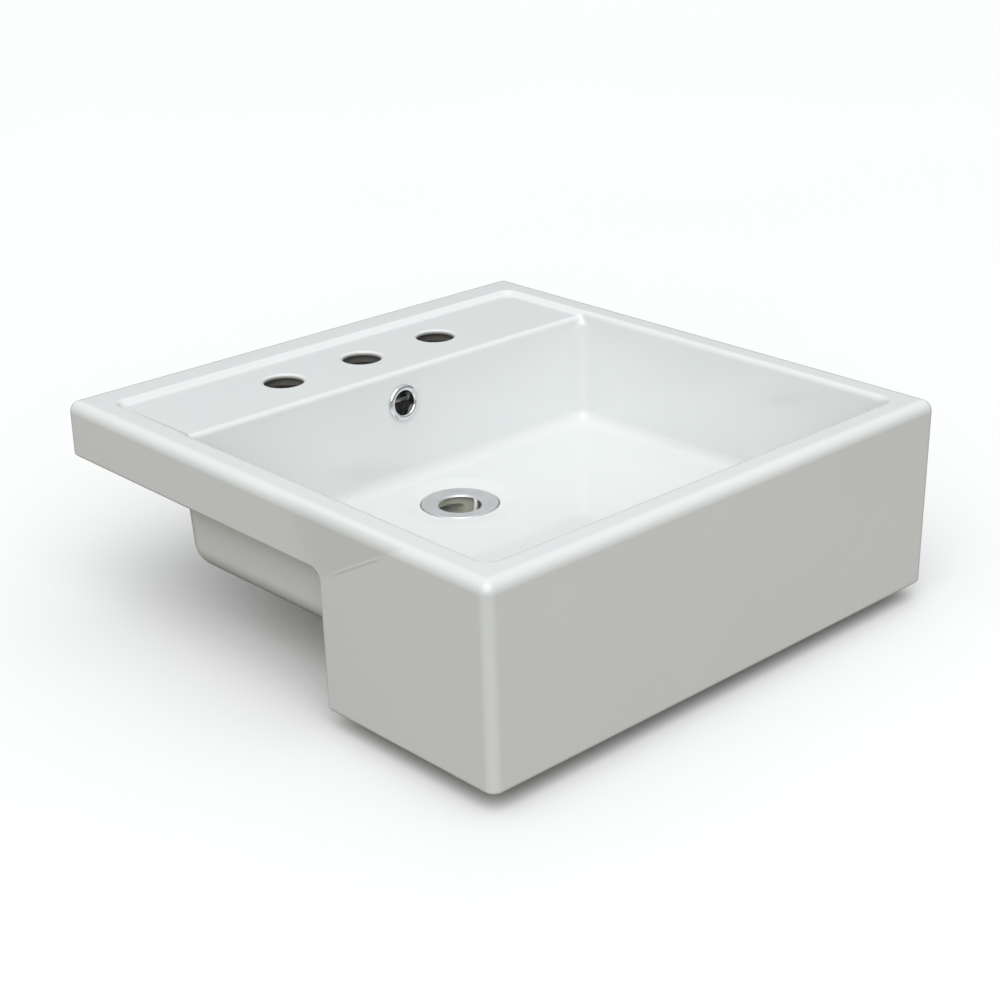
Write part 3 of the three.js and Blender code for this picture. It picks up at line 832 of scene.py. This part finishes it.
# %% Group: marks of a turning tool
marks, given, result = new_group(
    "turning_marks", [("Lines", NUMBER, 2500.0)], [("Height", NUMBER), ("Value", NUMBER)]
)
where = add(marks, "TexCoord").outputs["Object"]
apart = add(marks, "SeparateXYZ", add(marks, "VectorMath", where, DRAIN_AXIS, operation="SUBTRACT"))
flat = add(marks, "CombineXYZ", X=apart.outputs["X"], Y=apart.outputs["Y"])
distance = add(marks, "VectorMath", flat, operation="LENGTH").outputs["Value"]
run = add(marks, "Math", distance, apart.outputs["Z"], operation="ADD")
lines = add(marks, "TexNoise", noise_dimensions="1D", W=run, Scale=given.outputs["Lines"], Detail=2.0)
marks.links.new(lines.outputs["Fac"], result.inputs["Height"])
marks.links.new(lines.outputs["Fac"], result.inputs["Value"])

# %% [markdown]
# The foot, the back face, the apron's inside and its ground edge carry no glaze: they stood on
# the kiln shelf or were wiped clean, and are matt off-white biscuit. The room under the ledge
# and the waste's bore are bare too, and matt; their colour is painted shade, near black under
# the ledge and greenish grey in the bore. Each place is a box or a bore in the object's own
# space, and a little noise makes the glaze line ragged, as a sponge does.

# %% Group: where the glaze stops, and where shade is painted
bare, given, result = new_group(
    "bare_clay_and_painted_shade", [("Edge", NUMBER, 0.0012)], [("Ground", NUMBER), ("Hidden", NUMBER)]
)
where = add(bare, "TexCoord").outputs["Object"]
ragged = add(bare, "TexNoise", Vector=where, Scale=90.0, Detail=3.0)
shake = add(bare, "Math", ragged.outputs["Fac"], given.outputs["Edge"], operation="MULTIPLY")
apart = add(bare, "SeparateXYZ", where)
sideways = add(bare, "Math", apart.outputs["X"], operation="ABSOLUTE")
behind = add(bare, "Math", apart.outputs["Y"], shake, operation="ADD")
down = add(bare, "Math", apart.outputs["Z"], shake, operation="SUBTRACT")


def ramp(value, start, end):
    """0 before start, 1 after end, in millimetres along one axis."""
    return add(bare, "MapRange", Value=value, From_Min=start * MM, From_Max=end * MM)


def times(*factors):
    """The product of masks: a point must lie in all of them."""
    product = factors[0]
    for factor in factors[1:]:
        product = add(bare, "Math", product, factor, operation="MULTIPLY")
    return product


back_face = ramp(behind, BACK - 0.8, BACK - 0.2)
ground_edge = ramp(down, APRON_Z + 1, APRON_Z)
foot = times(ramp(down, 0.2, -0.6), ramp(behind, LEDGE_HOLLOW_REAR - 0.5, LEDGE_HOLLOW_REAR + 0.5))
under_ledge = times(
    ramp(behind, BOWL_BACK + 2, BOWL_BACK + 4),
    ramp(behind, LEDGE_HOLLOW_REAR + 0.8, LEDGE_HOLLOW_REAR - 0.2),
    ramp(down, LEDGE_Z - 1.5, LEDGE_Z - 4.5),
    ramp(sideways, LEDGE_HOLLOW_HALF + 1.2, LEDGE_HOLLOW_HALF + 0.2),
)
in_apron = times(
    ramp(behind, FRONT + SHELL - 0.5, FRONT + SHELL + 0.5),
    ramp(behind, APRON_REAR - SHELL + 0.5, APRON_REAR - SHELL - 0.5),
    ramp(down, SHELL_Z + 1, SHELL_Z),
    ramp(sideways, APRON_HOLLOW_HALF + 1.2, APRON_HOLLOW_HALF + 0.2),
)
from_axis = add(bare, "SeparateXYZ", add(bare, "VectorMath", where, DRAIN_AXIS, operation="SUBTRACT"))
level = add(bare, "CombineXYZ", X=from_axis.outputs["X"], Y=from_axis.outputs["Y"])
reach = add(bare, "VectorMath", level, operation="LENGTH").outputs["Value"]
in_bore = times(ramp(reach, SEAT_R - 0.3, SEAT_R - 1.3), ramp(down, DRAIN_Z - 2, DRAIN_Z - 3))
ground = back_face
for other in (ground_edge, foot, in_apron):
    ground = add(bare, "Math", ground, other, operation="MAXIMUM")
# Painted shade: the room under the ledge and the waste's bore are bare, and their colour is also painted
# shade.
hidden = add(bare, "Math", under_ledge, in_bore, operation="MAXIMUM")
bare.links.new(ground.outputs[0], result.inputs["Ground"])
bare.links.new(hidden.outputs[0], result.inputs["Hidden"])

# %% [markdown]
# Where the mould's side begins to toe in, it leaves a faint raised line on each side of the
# apron. It's much finer than the mesh, so it's a bump: a bell curve of the distance from the
# crease, 1 on the line and 1/e one width away, faded out at both ends. The second output marks
# the china below the line, which faces a touch lower; there the colour is darkened by a painted shade.

# %% Group: the mould's slanting line, and the painted shade below it
line, given, result = new_group(
    "mould_line_and_painted_shade", [("Width", NUMBER, 0.0012)], [("Height", NUMBER), ("PaintedShadeBelow", NUMBER)]
)
where = add(line, "TexCoord").outputs["Object"]
run_y, run_z = CREASE_RUN
from_low = add(line, "VectorMath", where, (0, *(CREASE_LOW * MM)), operation="SUBTRACT")
off_line = add(line, "VectorMath", from_low, (0, -run_z, run_y), operation="DOT_PRODUCT").outputs["Value"]
along_line = add(line, "VectorMath", from_low, (0, run_y, run_z), operation="DOT_PRODUCT").outputs["Value"]
from_middle = add(line, "Math", add(line, "SeparateXYZ", where).outputs["X"], operation="ABSOLUTE")
on_side = add(line, "MapRange", Value=from_middle, From_Min=(HALF - 5) * MM, From_Max=(HALF - 3) * MM)
started = add(line, "MapRange", Value=along_line, From_Min=0.006, From_Max=0.022)
faded = add(line, "MapRange", Value=along_line, From_Min=0.086, From_Max=0.068)
widths = add(line, "Math", off_line, given.outputs["Width"], operation="DIVIDE")
squared = add(line, "Math", widths, 2.0, operation="POWER")
ridge = add(line, "Math", math.e, add(line, "Math", squared, -1.0, operation="MULTIPLY"), operation="POWER")
for factor in (on_side, started, faded):
    ridge = add(line, "Math", ridge, factor, operation="MULTIPLY")
line.links.new(ridge.outputs[0], result.inputs["Height"])
# Painted shade: this mask marks the apron's sides below the crease, whose colour is darkened.
under = add(line, "MapRange", Value=off_line, From_Min=0.0005, From_Max=-0.0015)
ahead = add(line, "MapRange", Value=along_line, From_Min=-0.030, From_Max=0.010)
painted_shade_mask = add(line, "Math", under, on_side, operation="MULTIPLY")
painted_shade_mask = add(line, "Math", painted_shade_mask, ahead, operation="MULTIPLY")
line.links.new(painted_shade_mask.outputs[0], result.inputs["PaintedShadeBelow"])


# %% Material helper
def new_material(name, **constants):
    """A Principled material with its constants set; returns its tree and shader."""
    made = bpy.data.materials.new(name)
    made.use_nodes = True
    shader = made.node_tree.nodes["Principled BSDF"]
    for key, value in constants.items():
        shader.inputs[key.replace("_", " ")].default_value = value
    return made, made.node_tree, shader


def use(tree, group, **inputs):
    """Adds a node group and sets its inputs."""
    node = tree.nodes.new("ShaderNodeGroup")
    node.node_tree = group
    for key, value in inputs.items():
        plug(tree, node.inputs[key], value)
    return node


def between(tree, value, low, high):
    """A value from 0..1 stretched to low..high."""
    return add(tree, "MapRange", Value=value, To_Min=low, To_Max=high)


def dress(obj, material):
    """Gives an object one material."""
    obj.data.materials.clear()
    obj.data.materials.append(material)
    print(obj.name, "wears", material.name)


# %% [markdown]
# The china is white clay under a clear, hard glaze: a smooth white base with a thin coat, and
# both go matt where the masks say that there is no glaze. The coat, roughness and colour all
# take the same masks, so that they change at the same ragged line.

# %% Glazed china
glaze, tree, shader = new_material("vitreous_china_glaze", IOR=1.52, Coat_Roughness=0.03, Coat_IOR=1.5)
tint = use(tree, clouds, Scale=7.0, Light=(0.815, 0.835, 0.828, 1), Dark=(0.795, 0.818, 0.812, 1))
crease_and_painted_shade = use(tree, line)
# Painted shade: the apron's sides below the mould line take this darker colour, standing in for their shade.
painted_shade_below = (0.735, 0.752, 0.742, 1)
colour_with_painted_shade = add(tree, "MixRGB", Fac=crease_and_painted_shade.outputs["PaintedShadeBelow"], Color1=tint.outputs["Colour"], Color2=painted_shade_below)
clay = use(tree, bare)
mask = add(tree, "Math", clay.outputs["Ground"], clay.outputs["Hidden"], operation="MAXIMUM")
biscuit = use(tree, clouds, Scale=60.0, Light=(0.72, 0.70, 0.65, 1), Dark=(0.62, 0.60, 0.55, 1))
# Painted shade: near black under the ledge and greenish grey in the waste's bore, standing in for the shade
# in these hollows.
painted_shade_ledge = use(tree, clouds, Scale=45.0, Light=(0.27, 0.255, 0.235, 1), Dark=(0.19, 0.18, 0.165, 1))
painted_shade_bore = use(tree, clouds, Scale=45.0, Light=(0.66, 0.66, 0.57, 1), Dark=(0.50, 0.51, 0.43, 1))
depth = add(tree, "SeparateXYZ", add(tree, "TexCoord").outputs["Object"]).outputs["Y"]
past_waste = add(tree, "MapRange", Value=depth, From_Min=(DRAIN_Y + 40) * MM, From_Max=(DRAIN_Y + 60) * MM)
painted_shade_hollows = add(tree, "MixRGB", Fac=past_waste, Color1=painted_shade_bore.outputs["Colour"], Color2=painted_shade_ledge.outputs["Colour"])
outer = add(tree, "MixRGB", Fac=clay.outputs["Ground"], Color1=colour_with_painted_shade, Color2=biscuit.outputs["Colour"])
colour = add(tree, "MixRGB", Fac=clay.outputs["Hidden"], Color1=outer, Color2=painted_shade_hollows)
gloss = between(tree, use(tree, grain, Scale=25.0, Fine=3.0).outputs["Value"], 0.06, 0.12)
matt = add(tree, "MapRange", Value=mask, From_Min=0.0, From_Max=1.0, To_Min=gloss, To_Max=0.8)
cover = add(tree, "MapRange", Value=mask, To_Min=0.4, To_Max=0.0)
peel = use(tree, grain, Scale=22.0, Fine=1.0)
wave = add(tree, "Bump", Strength=0.12, Distance=0.0012, Height=peel.outputs["Height"])
seam = add(tree, "Bump", Strength=1.0, Distance=0.0004, Height=crease_and_painted_shade.outputs["Height"], Normal=wave)
plug(tree, shader.inputs["Base Color"], colour)
plug(tree, shader.inputs["Roughness"], matt)
plug(tree, shader.inputs["Coat Weight"], cover)
plug(tree, shader.inputs["Normal"], seam)
dress(china, glaze)

# %% [markdown]
# The trim ring is polished chrome: nearly a mirror, with faint smears left by wiping. The
# waste is satin chrome, so it shows the fine rings of the turning tool as a soft sheen. The
# inner faces of its two ribs carry a painted highlight: a near-white colour, not metal.

# %% Chrome and satin chrome
chrome, tree, shader = new_material("polished_chrome", Metallic=1.0)
silver = use(tree, clouds, Scale=120.0, Light=(0.80, 0.81, 0.83, 1), Dark=(0.74, 0.75, 0.77, 1))
smear = use(tree, grain, Scale=260.0, Fine=3.0)
plug(tree, shader.inputs["Base Color"], silver.outputs["Colour"])
plug(tree, shader.inputs["Roughness"], between(tree, smear.outputs["Value"], 0.03, 0.14))
dress(ring, chrome)

satin, tree, shader = new_material("satin_chrome", Anisotropic=0.3)
grey = use(tree, clouds, Scale=90.0, Light=(0.74, 0.74, 0.75, 1), Dark=(0.67, 0.67, 0.68, 1))
rings = use(tree, marks, Lines=2200.0)
where = add(tree, "TexCoord").outputs["Object"]
apart = add(tree, "SeparateXYZ", add(tree, "VectorMath", where, DRAIN_AXIS, operation="SUBTRACT"))
off_x, off_y = (add(tree, "Math", apart.outputs[axis], operation="ABSOLUTE") for axis in "XY")
near_rib = add(tree, "MapRange", Value=off_y, From_Min=(RIB_HALF + 0.5) * MM, From_Max=(RIB_HALF + 0.2) * MM)
inside = add(tree, "MapRange", Value=off_x, From_Min=THROAT_R * MM, From_Max=(THROAT_R - 0.15) * MM)
# Painted highlight: the ribs' inner faces take a near-white, non-metal colour, so that they show as a bright
# bar.
painted_highlight_rib = add(tree, "Math", near_rib, inside, operation="MULTIPLY")
pale = add(tree, "MixRGB", Fac=painted_highlight_rib, Color1=grey.outputs["Colour"], Color2=(0.93, 0.94, 0.93, 1))
cuts = add(tree, "Bump", Strength=0.15, Distance=0.00004, Height=rings.outputs["Height"])
plug(tree, shader.inputs["Base Color"], pale)
plug(tree, shader.inputs["Metallic"], add(tree, "MapRange", Value=painted_highlight_rib, To_Min=1.0, To_Max=0.0))
plug(tree, shader.inputs["Roughness"], between(tree, rings.outputs["Value"], 0.30, 0.46))
plug(tree, shader.inputs["Normal"], cuts)
dress(waste, satin)

# %% [markdown]
# The nut is bare brass, yellower and sharper in its tool marks than plating. The clip is dark
# tempered steel. Neither is flat: brass tarnishes in patches and tempering leaves a bloom.

# %% Brass and spring steel
brass, tree, shader = new_material("machined_brass", Metallic=1.0)
gold = use(tree, clouds, Scale=140.0, Light=(0.74, 0.55, 0.24, 1), Dark=(0.55, 0.38, 0.15, 1))
rings = use(tree, marks, Lines=1400.0)
plug(tree, shader.inputs["Base Color"], gold.outputs["Colour"])
cuts = add(tree, "Bump", Strength=0.3, Distance=0.00006, Height=rings.outputs["Height"])
plug(tree, shader.inputs["Roughness"], between(tree, rings.outputs["Value"], 0.2, 0.42))
plug(tree, shader.inputs["Normal"], cuts)
dress(nut, brass)

steel, tree, shader = new_material("spring_steel", Metallic=1.0)
dull = use(tree, clouds, Scale=300.0, Light=(0.26, 0.26, 0.26, 1), Dark=(0.17, 0.17, 0.18, 1))
plug(tree, shader.inputs["Base Color"], dull.outputs["Colour"])
plug(tree, shader.inputs["Roughness"], between(tree, dull.outputs["Value"], 0.3, 0.45))
dress(clip, steel)

# %% [markdown]
# The soft parts are matt and take their look from grain: open pores in the grey foam, a
# talc-dusted skin on the black rubber, and a waxy, slightly translucent polythene washer.

# %% Foam, rubber and polythene
for name, colours, scale, depth, roughness, constants in (
    ("foam_seal", ((0.36, 0.37, 0.36, 1), (0.22, 0.23, 0.22, 1)), 1500.0, 0.0004, (0.85, 0.98), {}),
    ("tapered_gasket", ((0.035, 0.035, 0.037, 1), (0.018, 0.018, 0.02, 1)), 900.0, 0.0001, (0.5, 0.75), {}),
    ("slip_washer", ((0.80, 0.80, 0.77, 1), (0.70, 0.71, 0.68, 1)), 500.0, 0.00006, (0.35, 0.5),
     {"Subsurface_Weight": 0.3, "Subsurface_Scale": 0.002}),
):
    soft, tree, shader = new_material(name + "_material", **constants)
    shade = use(tree, clouds, Scale=scale / 4, Light=colours[0], Dark=colours[1])
    pores = use(tree, grain, Scale=scale, Fine=3.0)
    plug(tree, shader.inputs["Base Color"], shade.outputs["Colour"])
    plug(tree, shader.inputs["Roughness"], between(tree, pores.outputs["Value"], *roughness))
    skin = add(tree, "Bump", Strength=0.5, Distance=depth, Height=pores.outputs["Height"])
    plug(tree, shader.inputs["Normal"], skin)
    dress(bpy.data.objects[name], soft)

# %% [markdown]
# ## Camera, floor and light
#
# The camera looks down on the basin from its front left, through a long lens, a little tilted.
# The floor is pale and plain. A wide soft light lies overhead and to the front left, so that
# the rim is brightest, the bowl is next, and the upright faces fall into the lightest shade.

# %% Camera
camera_data = bpy.data.cameras.new("camera")
camera_data.lens = 69.82
camera_data.sensor_width = 36
camera_data.clip_end = 60
camera = bpy.data.objects.new("camera", camera_data)
azimuth, elevation, roll = map(math.radians, (-42.73, 22.714, -1.129))
CAMERA_PLACE = (-1.03816, -1.37658, 0.59899)
level = math.cos(elevation)
towards = Vector((math.sin(azimuth) * level, -math.cos(azimuth) * level, math.sin(elevation)))
right = Vector((0, 0, 1)).cross(towards).normalized()
up = towards.cross(right)
rolled_right = math.cos(roll) * right + math.sin(roll) * up
rolled_up = -math.sin(roll) * right + math.cos(roll) * up
turn = Matrix((rolled_right, rolled_up, towards)).transposed().to_4x4()
camera.matrix_world = Matrix.Translation(CAMERA_PLACE) @ turn
bpy.context.scene.collection.objects.link(camera)
bpy.context.scene.camera = camera
print("camera", round(Vector(CAMERA_PLACE).length, 2), "m from the origin, lens", camera_data.lens, "mm")

# %% [markdown]
# The floor is near white to the eye but throws back little light, so that the faces above it
# stay a shade darker than the rim. It lies half a millimetre under the lowest point, and lets
# the eye through from below, so that the underside can be looked at.

# %% Floor
FLOOR_REACH, FLOOR_GAP = 30000, 0.5
floor_z = cad_bounds[0][2] / MM - FLOOR_GAP
corners = [(x * FLOOR_REACH, y * FLOOR_REACH, floor_z) for x, y in ((-1, -1), (1, -1), (1, 1), (-1, 1))]
floor = new_object("floor", corners, [(0, 1, 2, 3)])
paint, tree, shader = new_material("pale_floor", Roughness=0.9)
shade = use(tree, clouds, Scale=0.7, Light=(0.97, 0.97, 0.97, 1), Dark=(0.955, 0.955, 0.955, 1))
seen = add(tree, "LightPath").outputs["Is Camera Ray"]
bounced = (0.24, 0.22, 0.18, 1)
paper = add(tree, "MixRGB", Fac=seen, Color1=bounced, Color2=shade.outputs["Colour"])
plug(tree, shader.inputs["Base Color"], paper)
from_below = add(tree, "NewGeometry").outputs["Backfacing"]
output = tree.nodes["Material Output"]
plug(tree, output.inputs["Surface"], add(tree, "MixShader", from_below, shader, add(tree, "BsdfTransparent")))
dress(floor, paint)

# %% [markdown]
# The room gets brighter with height, from dim at the floor to white overhead, but shows plain
# white to the eye. One very wide lamp adds the soft light from the front left.

# %% World and lamp
world = bpy.data.worlds.new("studio")
world.use_nodes = True
tree = world.node_tree
height = add(tree, "SeparateXYZ", add(tree, "TexCoord").outputs["Generated"]).outputs["Z"]
tree.nodes["Background"].inputs["Color"].default_value = (0.97, 0.99, 1, 1)
light = between(tree, height, 0.08, 0.99)
seen = add(tree, "LightPath").outputs["Is Camera Ray"]
plug(tree, tree.nodes["Background"].inputs["Strength"], add(tree, "Math", light, seen, operation="MAXIMUM"))
bpy.context.scene.world = world
bpy.context.scene.view_settings.view_transform = "Standard"

sky_data = bpy.data.lights.new("soft_sky", "SUN")
sky_data.energy = 1.65
sky_data.angle = math.radians(70)
sky = bpy.data.objects.new("soft_sky", sky_data)
sky.rotation_euler = Vector((-0.7, -0.7, 1)).to_track_quat("Z", "Y").to_euler()
bpy.context.scene.collection.objects.link(sky)
print("lamp", sky.name, "at", sky_data.energy, "over", round(math.degrees(sky_data.angle)), "degrees")
